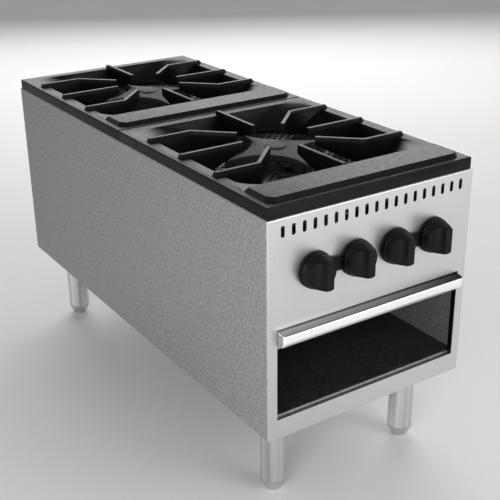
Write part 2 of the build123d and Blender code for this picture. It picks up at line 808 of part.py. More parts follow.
def orifice_rail():
    """The cross angle that holds the rear burner's two orifice holders."""
    y = cross_angle_y
    half = side_inner - shield_gap
    low = knob_z - cross_angle_half
    high = knob_z + cross_angle_half
    rail = span((-half, half), (y, y + cross_angle_sheet), (low, high))
    rail += span((-half, half), (y - cross_angle_top, y), (high - cross_angle_sheet, high))
    rail -= rod((supply_x, y - 30, manifold_z), (supply_x, y + 30, manifold_z), pipe_radius + bracket_sheet)
    for x in knob_x[2:]:
        rail -= rod((x, y - holder_front, knob_z), (x, y + holder_front, knob_z), holder_radius)
    return rail


def orifice_holders():
    """Two hexagon fittings through the cross angle, between a gas tube and its spud."""
    pieces = []
    for x in knob_x[2:]:
        nut_y = cross_angle_y + cross_angle_sheet
        body = rod((x, holder_y, knob_z), (x, nut_y + holder_hexagon_depth, knob_z), holder_radius)
        for y, reach in ((nut_y, holder_hexagon_depth), (cross_angle_y - holder_hexagon, holder_hexagon)):
            hexagon = extrude(RegularPolygon(holder_hexagon, 6), reach)
            body += facing((0, 1, 0), (x, y, knob_z), (1, 0, 0)) * hexagon
        pieces.append(body)
    return pieces


def rear_gas_tubes():
    """Two straight tubes from the right-hand valves to the rear orifice holders."""
    pieces = []
    for x in knob_x[2:]:
        start = (x, manifold_y + valve_outlet, knob_z)
        end = (x, holder_y, knob_z)
        pieces.append(rod(start, end, tube_radius) - rod(start, end, tube_radius - tube_wall))
    return pieces


def pilot_tube(start_x, y):
    """A thin tube from a pilot cock on the manifold to a pilot beside its burner."""
    level = baffle_top - burner_rail_leg - pilot_tube_drop
    end = (pilot_spot[0], y + pilot_spot[1])
    path = FilletPolyline(
        (start_x, manifold_y, manifold_z + pipe_radius + cock_height),
        (start_x, manifold_y, level),
        (end[0], end[1], level),
        (end[0], end[1], baffle_top),
        radius=pilot_tube_bend,
    )
    start = Plane(origin=path @ 0, z_dir=path % 0)
    ring = Circle(pilot_tube_radius) - Circle(pilot_tube_radius - pilot_tube_wall)
    return sweep(start * ring, path=path)


def pilot_cocks():
    """The two small cocks on the manifold that set the pilots."""
    base = manifold_z + pipe_radius
    screw_z = base + cock_screw_height
    pieces = []
    for x in pilot_x:
        cock = rod((x, manifold_y, manifold_z), (x, manifold_y, base + cock_height), cock_radius)
        hexagon = extrude(RegularPolygon(cock_hexagon, 6), cock_hexagon)
        cock += Pos(x, manifold_y, base + cock_hexagon) * hexagon
        cock += rod((x, manifold_y - cock_screw_reach, screw_z), (x, manifold_y, screw_z), cock_screw_radius)
        ends = (x - 3 * cock_radius, x + 3 * cock_radius)
        cock -= rod((ends[0], manifold_y, manifold_z), (ends[1], manifold_y, manifold_z), pipe_radius)
        pieces.append(cock)
    return pieces


def pilots():
    """Two pilot burners standing on the baffles, with a slot towards the star."""
    low = (Align.CENTER, Align.CENTER, Align.MIN)
    pieces = []
    for y in burner_y:
        post = Cylinder(pilot_radius, pilot_height, align=low)
        post += Cylinder(pilot_radius + pilot_flange, pilot_flange_depth, align=low)
        post -= Pos(0, 0, pilot_height - pilot_slot_drop) * Box(
            pilot_slot_width, 4 * pilot_radius, pilot_slot_height
        )
        pieces.append(Pos(pilot_spot[0], y + pilot_spot[1], baffle_top) * post)
    return pieces


# ---------------------------------------------------------------- tray
def crumb_tray():
    """A long pan whose front is folded into a full-width nose to pull it by."""
    far = rear_face - sheet - rear_flange - tray_rear_gap
    inside_y = panel_face + opening_return
    wall_top = tray_top - tray_wall_drop
    body = span((-tray_half, tray_half), (inside_y - sheet, far), (tray_base, wall_top))
    body -= span(
        (-tray_half + sheet, tray_half - sheet),
        (inside_y, far - sheet),
        (tray_base + sheet, wall_top),
    )
    nose_y = panel_face - nose_reach
    profile = Polygon(
        (inside_y, tray_base), (panel_face, tray_base), (panel_face - nose_foot, tray_base + nose_foot_rise),
        (nose_y, tray_base + nose_front_rise), (nose_y, tray_top - nose_fall), (panel_face, tray_top),
        (inside_y, tray_top), align=None,
    )
    nose = extrude(Plane.YZ * profile, nose_half, both=True)
    ends = nose.edges().filter_by(Axis.Z).group_by(Axis.Y)[0]
    nose = fillet(ends, nose_end_round)
    lips = nose.faces().sort_by(Axis.Y)[0].edges().filter_by(Axis.X)
    return body + fillet(lips, nose_round)


def tray_runner(side):
    """An angle on the side panel that the tray slides on, with a round nose."""
    far = rear_face - sheet - rear_flange - clear
    near = panel_face + opening_return + clear
    inner = side_inner - runner_reach
    across = (side * inner, side * side_inner)
    rail = span(across, (near, far), (tray_base - sheet, tray_base))
    rail += span(
        (side * (side_inner - sheet), side * side_inner), (near, far), (tray_base - runner_upright, tray_base)
    )
    nose_y = panel_face + runner_back + runner_nose
    nose_z = tray_base - runner_nose
    tongue_end = side * (opening_half - clear)
    rail += span((side * inner, tongue_end), (nose_y, near), (tray_base - sheet, tray_base))
    ball_x = side * (inner + runner_nose)
    rail += rod((ball_x, nose_y, nose_z), (tongue_end, nose_y, nose_z), runner_nose)
    return rail + Pos(ball_x, nose_y, nose_z) * Sphere(runner_nose)


# ---------------------------------------------------------------- legs
def leg_places():
    return [(sx * leg_x, sy * leg_y) for sy in (-1, 1) for sx in (-1, 1)]


def leg(x, y):
    """A tube under a square plate with four screw holes."""
    plate = extrude(RectangleRounded(leg_plate, leg_plate, leg_plate_corner), -leg_plate_thickness)
    for place in GridLocations(leg_screw_pitch, leg_screw_pitch, 2, 2):
        plate -= place * Cylinder(screw_radius + fit, 4 * leg_plate_thickness)
    length = body_base + sheet - leg_plate_thickness - foot_height
    tube = Pos(0, 0, -leg_plate_thickness - length / 2) * (
        Cylinder(leg_radius, length) - Cylinder(leg_radius - leg_wall, length)
    )
    return Pos(x, y, body_base + sheet) * (plate + tube)


def levelling_foot(x, y):
    """A bullet foot with a spigot that screws up into its leg."""
    low = (Align.CENTER, Align.CENTER, Align.MIN)
    outline = Polyline(
        (0, 0), (foot_radius - foot_edge, 0), (foot_radius, foot_edge),
        (leg_radius - foot_shoulder_step, foot_height - foot_shoulder),
        (leg_radius, foot_height - foot_shoulder / 2), (leg_radius, foot_height - clear),
        (0, foot_height - clear), close=True,
    )
    body = revolve(Plane.XZ * make_face(outline), Axis.Z)
    spigot_base = foot_height - foot_shoulder
    spigot_radius = leg_radius - leg_wall - fit
    spigot = Cylinder(spigot_radius, foot_spigot + foot_shoulder, align=low)
    spigot -= Pos(0, 0, foot_shoulder) * Cylinder(spigot_radius - foot_spigot_wall, foot_spigot, align=low)
    return Pos(x, y, 0) * (body + Pos(0, 0, spigot_base) * spigot)


# ---------------------------------------------------------------- write every node
os.makedirs("parts", exist_ok=True)

top = cast_top_section()
save("front_cast_top", Pos(0, burner_y[0], cast_top) * top)
save("rear_cast_top", Pos(0, burner_y[1], cast_top) * top)
save("left_side_panel", side_panel(-1))
save("right_side_panel", side_panel(1))
save("front_panel", front_panel())
save("rear_panel", rear_panel())
save("floor_pan", floor_pan())
save("base_rails", *base_rails())
save("top_rails", *top_rails())
save("burner_rails", *burner_rails())
save("heat_shields", heat_shield(-1), heat_shield(1))

for name, y in zip(("front", "rear"), burner_y):
    save(f"{name}_baffle", baffle(y))
    save(f"{name}_burner_body", burner_body(y))
    save(f"{name}_burner_cap", burner_cap(y))

for n, x in enumerate(knob_x):
    y = burner_y[n // 2]
    mouth = mouth_y[n // 2]
    outer = n in (0, 3)
    save(f"mixer_{n + 1}", mixer(x, 0 if outer else -neck_offset, y, mouth))
    save(f"air_shutter_{n + 1}", air_shutter(x, mouth))
    save(f"valve_{n + 1}", valve(x))
    save(f"stem_{n + 1}", stem(x))
    save(f"knob_{n + 1}", knob(x))

save("left_bezel", bezel(knob_x[0], knob_x[1]))
save("right_bezel", bezel(knob_x[2], knob_x[3]))
save("manifold", manifold())
save("manifold_elbow", elbow())
save("supply_pipe", supply_pipe())
save("manifold_brackets", *manifold_brackets())
save("orifice_spuds", *orifice_spuds())
save("orifice_rail", orifice_rail())
save("orifice_holders", *orifice_holders())
save("rear_gas_tubes", *rear_gas_tubes())
save("pilot_cocks", *pilot_cocks())
save("front_pilot_tube", pilot_tube(pilot_x[0], burner_y[0]))
save("rear_pilot_tube", pilot_tube(pilot_x[1], burner_y[1]))
save("pilots", *pilots())
save("crumb_tray", crumb_tray())
save("tray_runners", tray_runner(-1), tray_runner(1))
save("legs", *[leg(x, y) for x, y in leg_places()])
for n, (x, y) in enumerate(leg_places()):
    save(f"foot_{n + 1}", levelling_foot(x, y))
save("screws", *[place * screw() for place in leg_screw_places() + rear_screw_places()])
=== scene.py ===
# %% [markdown]
# # A two-burner stock pot range
#
# A stock pot range is a low gas range that carries very heavy pots. This one has two cast
# iron tops, one behind the other, a stainless body on four legs, four knobs, a crumb tray
# and an open cabinet under it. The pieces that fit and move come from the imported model. This
# lesson gives them their finishes, rounds the edges that catch the light, and adds the small
# things that a machined model leaves out.

import json
import math
import bmesh
import bpy
from mathutils import Matrix, Vector


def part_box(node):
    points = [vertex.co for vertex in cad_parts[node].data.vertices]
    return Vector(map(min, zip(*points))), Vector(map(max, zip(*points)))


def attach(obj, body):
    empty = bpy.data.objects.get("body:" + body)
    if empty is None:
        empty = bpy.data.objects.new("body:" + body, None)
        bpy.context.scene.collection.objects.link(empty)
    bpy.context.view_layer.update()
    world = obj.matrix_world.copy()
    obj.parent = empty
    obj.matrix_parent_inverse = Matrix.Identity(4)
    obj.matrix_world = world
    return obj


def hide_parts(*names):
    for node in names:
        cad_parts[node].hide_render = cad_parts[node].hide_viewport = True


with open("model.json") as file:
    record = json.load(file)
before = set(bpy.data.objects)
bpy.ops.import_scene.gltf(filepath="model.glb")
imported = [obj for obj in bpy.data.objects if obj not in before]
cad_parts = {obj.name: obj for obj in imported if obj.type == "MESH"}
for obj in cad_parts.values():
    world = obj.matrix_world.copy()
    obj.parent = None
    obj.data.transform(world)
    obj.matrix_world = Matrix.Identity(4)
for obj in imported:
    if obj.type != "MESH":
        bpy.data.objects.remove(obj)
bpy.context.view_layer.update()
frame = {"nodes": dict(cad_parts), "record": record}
nodes = frame["nodes"]
MM = 0.001

# %% [markdown]
# ## Tools for the finishes
#
# Every finish is a small node tree that ends in one Principled shader. The patterns read
# Object coordinates, which are metres here, so a noise scale of 200 has grains of about
# 5 mm. Short helpers keep the trees easy to read: they start a material, stretch or split its
# coordinates, make a noise, map a value between two limits, mix two colours and turn a value
# into bumps.


# %% Material helpers
def start_material(name, colour, roughness, metallic=0.0):
    """A material with one Principled shader, and the Object coordinates to build on."""
    material = bpy.data.materials.new(name)
    material.use_nodes = True
    tree = material.node_tree
    shader = tree.nodes["Principled BSDF"]
    shader.inputs["Base Color"].default_value = (*colour, 1)
    shader.inputs["Roughness"].default_value = roughness
    shader.inputs["Metallic"].default_value = metallic
    place = tree.nodes.new("ShaderNodeTexCoord").outputs["Object"]
    return material, tree, shader, place


def stretched(tree, place, scale):
    """The same coordinates with each axis scaled, so that a noise becomes long streaks."""
    mapping = tree.nodes.new("ShaderNodeMapping")
    mapping.inputs["Scale"].default_value = scale
    tree.links.new(place, mapping.inputs["Vector"])
    return mapping.outputs["Vector"]


def noise(tree, place, scale, detail=3.0, roughness=0.5):
    """A value from 0 to 1 that wanders, with grains of about one over scale metres."""
    node = tree.nodes.new("ShaderNodeTexNoise")
    node.inputs["Scale"].default_value = scale
    node.inputs["Detail"].default_value = detail
    node.inputs["Roughness"].default_value = roughness
    tree.links.new(place, node.inputs["Vector"])
    return node.outputs["Fac"]


def between(tree, value, low, high, start=0.3, end=0.7):
    """Maps a value from start..end to low..high, which may be numbers or colours."""
    if isinstance(low, (int, float)):
        node = tree.nodes.new("ShaderNodeMapRange")
        for name, number in (("From Min", start), ("From Max", end), ("To Min", low), ("To Max", high)):
            node.inputs[name].default_value = number
        tree.links.new(value, node.inputs["Value"])
        return node.outputs["Result"]
    node = tree.nodes.new("ShaderNodeValToRGB")
    node.color_ramp.elements[0].position = start
    node.color_ramp.elements[0].color = (*low, 1)
    node.color_ramp.elements[1].position = end
    node.color_ramp.elements[1].color = (*high, 1)
    tree.links.new(value, node.inputs["Fac"])
    return node.outputs["Color"]


def bumps(tree, shader, height, depth, strength=1.0):
    """Gives the shader's surface a relief of depth metres. Reliefs add up."""
    node = tree.nodes.new("ShaderNodeBump")
    node.inputs["Distance"].default_value = depth
    node.inputs["Strength"].default_value = strength
    tree.links.new(height, node.inputs["Height"])
    normal = shader.inputs["Normal"]
    if normal.is_linked:
        tree.links.new(normal.links[0].from_socket, node.inputs["Normal"])
    tree.links.new(node.outputs["Normal"], normal)


def mixed(tree, amount, low, high, blend="MIX"):
    """A colour that goes from low to high, or to their product, as the amount goes from 0 to 1."""
    node = tree.nodes.new("ShaderNodeMix")
    node.data_type = "RGBA"
    node.blend_type = blend
    sockets = {socket.identifier: socket for socket in node.inputs}
    for socket, source in (("Factor_Float", amount), ("A_Color", low), ("B_Color", high)):
        if isinstance(source, tuple):
            sockets[socket].default_value = (*source, 1)
        elif isinstance(source, float):
            sockets[socket].default_value = source
        else:
            tree.links.new(source, sockets[socket])
    return next(socket for socket in node.outputs if socket.identifier == "Result_Color")


def both(tree, first, second):
    """1 where both values are 1."""
    node = tree.nodes.new("ShaderNodeMath")
    node.operation = "MULTIPLY"
    tree.links.new(first, node.inputs[0])
    tree.links.new(second, node.inputs[1])
    return node.outputs["Value"]


def axes_of(tree, place):
    """The X, Y and Z of the coordinates."""
    node = tree.nodes.new("ShaderNodeSeparateXYZ")
    tree.links.new(place, node.inputs["Vector"])
    return node.outputs


def above(tree, value, level, over=True):
    """1 where the value is over the level, or under it when over is False, and 0 elsewhere."""
    node = tree.nodes.new("ShaderNodeMath")
    node.operation = "GREATER_THAN" if over else "LESS_THAN"
    node.inputs[1].default_value = level
    tree.links.new(value, node.inputs[0])
    return node.outputs["Value"]


def size_only(tree, value):
    """The value without its sign."""
    node = tree.nodes.new("ShaderNodeMath")
    node.operation = "ABSOLUTE"
    tree.links.new(value, node.inputs[0])
    return node.outputs["Value"]


def gradient(tree, value, low, high, start, end):
    """A grey that goes from low to high as the value goes from start to end."""
    level = between(tree, value, low, high, start, end)
    colour = tree.nodes.new("ShaderNodeCombineColor")
    for channel in ("Red", "Green", "Blue"):
        tree.links.new(level, colour.inputs[channel])
    return colour.outputs["Color"]


def grey(value):
    return (value, value, value)


# %% [markdown]
# ## Cast iron
#
# The tops are cast in sand and enamelled or blackened, so they are almost black, a little
# rough to the touch and just glossy enough to turn grey where they face the lights. The
# grain is a fine noise used as relief, and a broad noise makes the gloss uneven, as oil and
# heat do.


# %% Cast iron of the tops and of the burners
def cast_iron(name, dark, light, gloss, shine):
    material, tree, shader, place = start_material(name, grey(dark), gloss)
    shader.inputs["Specular IOR Level"].default_value = shine
    clouds = noise(tree, place, 16.0, detail=4.0)
    tree.links.new(between(tree, clouds, grey(dark), grey(light)), shader.inputs["Base Color"])
    wear = noise(tree, place, 130.0, detail=4.0)
    tree.links.new(between(tree, wear, gloss - 0.04, gloss + 0.06), shader.inputs["Roughness"])
    grain = noise(tree, place, 900.0, detail=5.0, roughness=0.65)
    bumps(tree, shader, grain, 0.12 * MM)
    pits = noise(tree, place, 220.0, detail=2.0)
    bumps(tree, shader, pits, 0.06 * MM)
    return material


top_iron = cast_iron("blackened_cast_iron", 0.004, 0.007, 0.40, 0.15)
burner_iron = cast_iron("bare_burner_iron", 0.028, 0.05, 0.62, 0.2)
print(top_iron.name, burner_iron.name)

# %% [markdown]
# ## Stainless and galvanised sheet
#
# The front and the tray are satin stainless, brushed so finely that only soft streaks show.
# The sides have a coarser, speckled finish that breaks the reflections into grains, with a
# painted light at their front end and a painted shade towards the rear. Each is a metal whose
# roughness and relief follow a noise; stretching the coordinates turns grains into brush lines.
# The legs are drawn tube with the same finish. Seen from above they mirror only the even floor,
# so their long light and dark streaks are painted highlights and reflections in the colour. The
# hidden sheets are galvanised, and their zinc crystals are the cells of a Voronoi pattern.


# %% Where the finishes change
PANEL_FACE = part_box("front_panel")[0].y
FLOOR_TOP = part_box("floor_pan")[1].z
OPENING_HALF = 211.0 * MM
RETURN_INNER = OPENING_HALF - 0.5 * MM
RETURN_OUTER = OPENING_HALF + 2.0 * MM
PANEL_SKIN = 1.6 * MM
LIP_HEIGHT = 0.5 * MM
SHEET_SLACK = 0.4 * MM
INSIDE_FRONT = PANEL_FACE + 16.0 * MM
INSIDE_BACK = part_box("rear_panel")[1].y - SHEET_SLACK
INSIDE_BASE = FLOOR_TOP - SHEET_SLACK
TRAY_FLAT_FALL = 3.6 * MM
TRAY_FLAT_BACK = PANEL_FACE + 2.0 * MM
SHADED_END = 0.7 * MM
# painted light at the front end of the sides and painted shade at their rear end
PAINTED_SIDE_SHADE = (1.24, 0.84)  # the side's shade at its front end and at its rear end
# the near black of the painted shade on the opening's upright returns
RETURN_SHADE = 0.02
print(f"inside of the body from y {INSIDE_FRONT:.3f} to {INSIDE_BACK:.3f} m")


# %% Brushed, speckled and galvanised sheet
def satin_steel(name, tones, gloss, streak, metallic):
    """Lines from the darkest to the lightest tone, long on the axis where streak is small; on the legs
    they are painted highlights.
    """
    darkest, lightest = tones
    material, tree, shader, place = start_material(name, grey(darkest), gloss, metallic)
    lines = noise(tree, stretched(tree, place, streak), 1.0, detail=4.0, roughness=0.6)
    tree.links.new(between(tree, lines, grey(darkest), grey(lightest)), shader.inputs["Base Color"])
    tree.links.new(between(tree, lines, gloss - 0.04, gloss + 0.05), shader.inputs["Roughness"])
    bumps(tree, shader, lines, 0.02 * MM)
    return material


def speckled_steel(name, tone, gloss, metallic=0.8):
    """A dull rolled finish, mottled at two scales, with painted light at the front and painted shade at
    the rear.
    """
    material, tree, shader, place = start_material(name, grey(tone), gloss, metallic)
    mottle = noise(tree, stretched(tree, place, (1.0, 1.0, 1.15)), 170.0, detail=4.0, roughness=0.75)
    grains = between(tree, mottle, grey(tone * 0.72), grey(tone * 1.28), 0.36, 0.64)
    low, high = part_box("left_side_panel")
    front_shade, rear_shade = PAINTED_SIDE_SHADE
    # painted light and shade: the colour is lighter at the front end and darker towards the rear
    side_shade = gradient(tree, axes_of(tree, place)["Y"], front_shade, rear_shade, low.y, high.y)
    tree.links.new(mixed(tree, 1.0, grains, side_shade, blend="MULTIPLY"), shader.inputs["Base Color"])
    tree.links.new(between(tree, mottle, gloss - 0.06, gloss + 0.08), shader.inputs["Roughness"])
    bumps(tree, shader, noise(tree, place, 520.0, detail=3.0), 0.05 * MM)
    return material


def zinc_sheet(name, tone, gloss, inside_shade=1.0):
    """Galvanised sheet: flat crystals that each shine a little differently.

    Inside the body the same sheet carries a painted shade for the dark of the cabinet: there its
    colour is multiplied by the last argument. The inside lies behind the returns of the front
    panel, in front of the rear panel's outer face and above the floor pan's upper face.
    """
    material, tree, shader, place = start_material(name, grey(tone), gloss, 0.6)
    cells = tree.nodes.new("ShaderNodeTexVoronoi")
    cells.inputs["Scale"].default_value = 210.0
    tree.links.new(place, cells.inputs["Vector"])
    split = tree.nodes.new("ShaderNodeSeparateColor")
    tree.links.new(cells.outputs["Color"], split.inputs["Color"])
    crystal = split.outputs["Red"]
    base_colour = between(tree, crystal, grey(tone * 0.78), grey(tone * 1.2), 0.0, 1.0)
    # painted shade inside the body: the crystals there are darkened by the last argument
    dark = between(tree, crystal, grey(tone * inside_shade * 0.5), grey(tone * inside_shade * 1.4), 0.0, 1.0)
    axes = axes_of(tree, place)
    before_rear = above(tree, axes["Y"], INSIDE_BACK, over=False)
    inside = both(tree, before_rear, above(tree, axes["Y"], INSIDE_FRONT))
    inside = both(tree, inside, above(tree, axes["Z"], INSIDE_BASE))
    tree.links.new(mixed(tree, inside, base_colour, dark), shader.inputs["Base Color"])
    tree.links.new(between(tree, crystal, gloss - 0.08, gloss + 0.1, 0.0, 1.0), shader.inputs["Roughness"])
    bumps(tree, shader, noise(tree, place, 260.0), 0.03 * MM)
    return material


def shade_returns(material):
    """Paints a near black shade on the upright returns of the opening, folded into the cabinet."""
    tree = material.node_tree
    shader = tree.nodes["Principled BSDF"]
    place = tree.nodes["Texture Coordinate"].outputs["Object"]
    axes = axes_of(tree, place)
    width = size_only(tree, axes["X"])
    side = both(tree, above(tree, width, RETURN_INNER), above(tree, width, RETURN_OUTER, over=False))
    side = both(tree, side, above(tree, axes["Y"], PANEL_FACE + PANEL_SKIN))
    side = both(tree, side, above(tree, axes["Z"], FLOOR_TOP + LIP_HEIGHT))
    side = both(tree, side, above(tree, axes["Z"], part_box("crumb_tray")[1].z, over=False))
    base_colour = shader.inputs["Base Color"].links[0].from_socket
    # painted shade: the returns are mixed to a near black
    tree.links.new(mixed(tree, side, base_colour, grey(RETURN_SHADE)), shader.inputs["Base Color"])


def tray_finish():
    """Bright stainless, with a painted shade on its two ends and on the flat behind the rolled nose."""
    material, tree, shader, place = start_material("bright_tray_steel", grey(0.95), 0.22, 0.6)
    lines = noise(tree, stretched(tree, place, (9.0, 900.0, 900.0)), 1.0, detail=4.0, roughness=0.6)
    axes = axes_of(tree, place)
    low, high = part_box("crumb_tray")
    upper = above(tree, axes["Z"], high.z - TRAY_FLAT_FALL)
    flat = both(tree, upper, above(tree, axes["Y"], TRAY_FLAT_BACK, over=False))
    # painted shade on the flat behind the nose, from mid grey at the left end to near black at the right
    flat_shade = gradient(tree, axes["X"], 0.46, 0.004, low.x, high.x)
    base_colour = between(tree, lines, grey(0.93), grey(0.98))
    # painted shade on the two end faces, a mid grey
    end = above(tree, size_only(tree, axes["X"]), high.x - SHADED_END)
    base_colour = mixed(tree, end, base_colour, grey(0.42))
    tree.links.new(mixed(tree, flat, base_colour, flat_shade), shader.inputs["Base Color"])
    shine = between(tree, axes["X"], 0.5, 0.0, low.x, high.x)
    tree.links.new(shine, shader.inputs["Specular IOR Level"])
    tree.links.new(between(tree, lines, 0.17, 0.25), shader.inputs["Roughness"])
    bumps(tree, shader, lines, 0.01 * MM)
    return material


front_steel = satin_steel("satin_front_steel", (0.6435, 0.6732), 0.34, (900.0, 900.0, 9.0), 0.93)
shade_returns(front_steel)
# the legs' light and dark streaks are painted highlights and reflections
leg_steel = satin_steel("leg_steel_painted_streaks", (0.42, 0.93), 0.24, (48.0, 48.0, 0.6), 1.0)
tray_steel = tray_finish()
side_steel = speckled_steel("speckled_side_steel", 0.36, 0.42)
# the last argument is the painted shade of each sheet inside the body
zinc = zinc_sheet("galvanised_sheet", 0.34, 0.45, 0.14)
dull_zinc = zinc_sheet("aluminised_sheet", 0.24, 0.55, 0.36)
sheets = (front_steel, leg_steel, tray_steel, side_steel, zinc, dull_zinc)
print("sheet finishes:", [material.name for material in sheets])

# %% [markdown]
# ## Plastic, brass, pipe and turned steel
#
# The knobs are moulded in black heat-resistant plastic with a fine spark-eroded texture.
# The gas parts are brass bodies, black pipe and drawn aluminium tube. Small turned parts
# show rings or scratches only close up, so a fine noise in the roughness is enough.


# %% The finishes of the small parts
def plain_finish(name, colour, gloss, metallic, grain, depth):
    material, tree, shader, place = start_material(name, colour, gloss, metallic)
    texture = noise(tree, place, grain, detail=4.0, roughness=0.6)
    darker = tuple(0.85 * part for part in colour)
    lighter = tuple(min(1.0, 1.12 * part) for part in colour)
    tree.links.new(between(tree, texture, darker, lighter), shader.inputs["Base Color"])
    tree.links.new(between(tree, texture, gloss - 0.04, gloss + 0.06), shader.inputs["Roughness"])
    bumps(tree, shader, texture, depth)
    return material


def thread_spigot(material):
    """Fine rings round the part of a foot that screws into its leg."""
    tree = material.node_tree
    place = tree.nodes["Texture Coordinate"].outputs["Object"]
    height = axes_of(tree, place)["Z"]
    rings = tree.nodes.new("ShaderNodeTexWave")
    rings.bands_direction = "Z"
    rings.inputs["Scale"].default_value = SPIGOT_RINGS
    tree.links.new(place, rings.inputs["Vector"])
    spigot = both(tree, rings.outputs["Fac"], above(tree, height, FOOT_TOP))
    bumps(tree, tree.nodes["Principled BSDF"], spigot, SPIGOT_DEPTH)


FOOT_TOP = 24.1 * MM
SPIGOT_RINGS = 160.0
SPIGOT_DEPTH = 0.6 * MM
KNOB_SHINE = 0.16
knob_plastic = plain_finish("black_moulded_plastic", grey(0.0045), 0.46, 0.0, 1400.0, 0.03 * MM)
knob_plastic.node_tree.nodes["Principled BSDF"].inputs["Specular IOR Level"].default_value = KNOB_SHINE
foot_steel = plain_finish("threaded_foot_steel", grey(0.6), 0.2, 1.0, 500.0, 0.005 * MM)
thread_spigot(foot_steel)
brass = plain_finish("machined_brass", (0.62, 0.45, 0.19), 0.3, 1.0, 500.0, 0.01 * MM)
pipe_black = plain_finish("black_iron_pipe", grey(0.03), 0.5, 0.3, 300.0, 0.05 * MM)
tube_metal = plain_finish("drawn_aluminium", grey(0.66), 0.34, 1.0, 400.0, 0.01 * MM)
turned_steel = plain_finish("turned_steel", grey(0.5), 0.32, 1.0, 600.0, 0.01 * MM)
screw_zinc = plain_finish("zinc_plated_steel", (0.56, 0.56, 0.52), 0.33, 1.0, 600.0, 0.01 * MM)

finishes = {
    "cast_iron": top_iron,
    "burner_iron": burner_iron,
    "front_steel": front_steel,
    "side_steel": side_steel,
    "tray_steel": tray_steel,
    "leg_steel": leg_steel,
    "galvanised": zinc,
    "aluminised": dull_zinc,
    "black_plastic": knob_plastic,
    "brass": brass,
    "gas_pipe": pipe_black,
    "aluminium_tube": tube_metal,
    "stem_steel": turned_steel,
    "screw_steel": screw_zinc,
}
slot_of = {part["node"]: part["material_slot"] for part in frame["record"]["subparts"]}
bodies = frame["record"]["behaviour"]["bodies"]
body_of = {node: body for body, members in bodies.items() for node in members}
for name, node in nodes.items():
    threaded = name.startswith("foot_")
    node.data.materials.clear()
    node.data.materials.append(foot_steel if threaded else finishes[slot_of[name]])
print("painted", len(nodes), "nodes")

# %% [markdown]
# ## Rounded edges
#
# No edge of a casting or a moulding is truly sharp: it is rounded, and the round catches a
# thin line of light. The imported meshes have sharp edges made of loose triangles, so each
# visible casting gets a copy that is merged, cleared of needless edges on its flat faces,
# and given a Bevel modifier that rounds only the edges sharper than a set angle.


# %% A rounded copy of a node
def applied(piece):
    """The piece with its modifiers made real."""
    bpy.context.view_layer.update()
    evaluated = piece.evaluated_get(bpy.context.evaluated_depsgraph_get())
    made = bpy.data.meshes.new_from_object(evaluated)
    piece.modifiers.clear()
    piece.data = made
    return piece


def cut_away(piece, cutter_mesh):
    """Takes the cutter's shape out of the piece with a Boolean, and drops the cutter."""
    cutter = bpy.data.objects.new("cutter", bpy.data.meshes.new("cutter"))
    cutter_mesh.to_mesh(cutter.data)
    cutter_mesh.free()
    bpy.context.scene.collection.objects.link(cutter)
    cut = piece.modifiers.new("cut", "BOOLEAN")
    cut.operation = "DIFFERENCE"
    cut.solver = "EXACT"
    cut.object = cutter
    applied(piece)
    bpy.data.objects.remove(cutter)


def merged_copy(node, name):
    copy = bpy.data.objects.new(name, nodes[node].data.copy())
    bpy.context.scene.collection.objects.link(copy)
    mesh = bmesh.new()
    mesh.from_mesh(copy.data)
    bmesh.ops.remove_doubles(mesh, verts=mesh.verts, dist=0.002 * MM)
    mesh.to_mesh(copy.data)
    mesh.free()
    return copy


def rounded_copy(node, round_mm, sharper_than=32.0, segments=2, cutter=None, reshape=None):
    copy = merged_copy(node, f"{node}_rounded")
    if cutter:
        cut_away(copy, cutter)
    mesh = bmesh.new()
    mesh.from_mesh(copy.data)
    if reshape:
        reshape(mesh)
    bmesh.ops.dissolve_limit(mesh, angle_limit=math.radians(0.6), verts=mesh.verts, edges=mesh.edges)
    for face in mesh.faces:
        face.smooth = True
    mesh.to_mesh(copy.data)
    mesh.free()
    copy.data.set_sharp_from_angle(angle=math.radians(sharper_than))
    bevel = copy.modifiers.new("rounded edges", "BEVEL")
    bevel.width = round_mm * MM
    bevel.segments = segments
    bevel.limit_method = "ANGLE"
    bevel.angle_limit = math.radians(sharper_than)
    bevel.use_clamp_overlap = True
    bevel.harden_normals = True
    bevel.miter_outer = "MITER_ARC"
    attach(copy, body_of[node])
    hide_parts(node)
    return copy


rounds = {"front_cast_top": 1.2, "rear_cast_top": 1.2}
rounds.update({"left_bezel": 0.8, "right_bezel": 0.8, "crumb_tray": 0.4})
for node, round_mm in rounds.items():
    copy = rounded_copy(node, round_mm)
    print(copy.name, len(copy.data.polygons), "faces")

# %% [markdown]
# ## The knobs
#
# Each knob is a cone with a hollow on both sides of an upright grip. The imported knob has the
# left hollow only, so a Boolean takes the right one out of the copy before its edges are
# rounded. A small raised mark at the top of the cone shows where the knob points.

# %% Cut the second hollow and round the edges
HOLLOW_RADIUS = 21.5 * MM
GRIP_HALF = 7.8 * MM


def middle_of(node):
    low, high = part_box(node)
    return (low + high) / 2


def hollow_cutter(node):
    low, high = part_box(node)
    at = Vector((middle_of(node).x + GRIP_HALF + HOLLOW_RADIUS, low.y, middle_of(node).z))
    mesh = bmesh.new()
    bmesh.ops.create_cone(
        mesh, cap_ends=True, segments=96, radius1=HOLLOW_RADIUS, radius2=HOLLOW_RADIUS,
        depth=2 * (high.z - low.z), matrix=Matrix.Translation(at),
    )
    return mesh


for n in range(1, 5):
    copy = rounded_copy(f"knob_{n}", 0.6, cutter=hollow_cutter(f"knob_{n}"))
    print(copy.name, len(copy.data.polygons), "faces")

# %% The index marks
MARK_LENGTH = 7.0 * MM
MARK_WIDTH = 1.6 * MM
MARK_HEIGHT = 0.5 * MM
MARK_ROUND = 0.25 * MM
CONE_BACK = Vector((0, -14.5 * MM, 32.0 * MM))
CONE_FRONT = Vector((0, -45.0 * MM, 24.8 * MM))


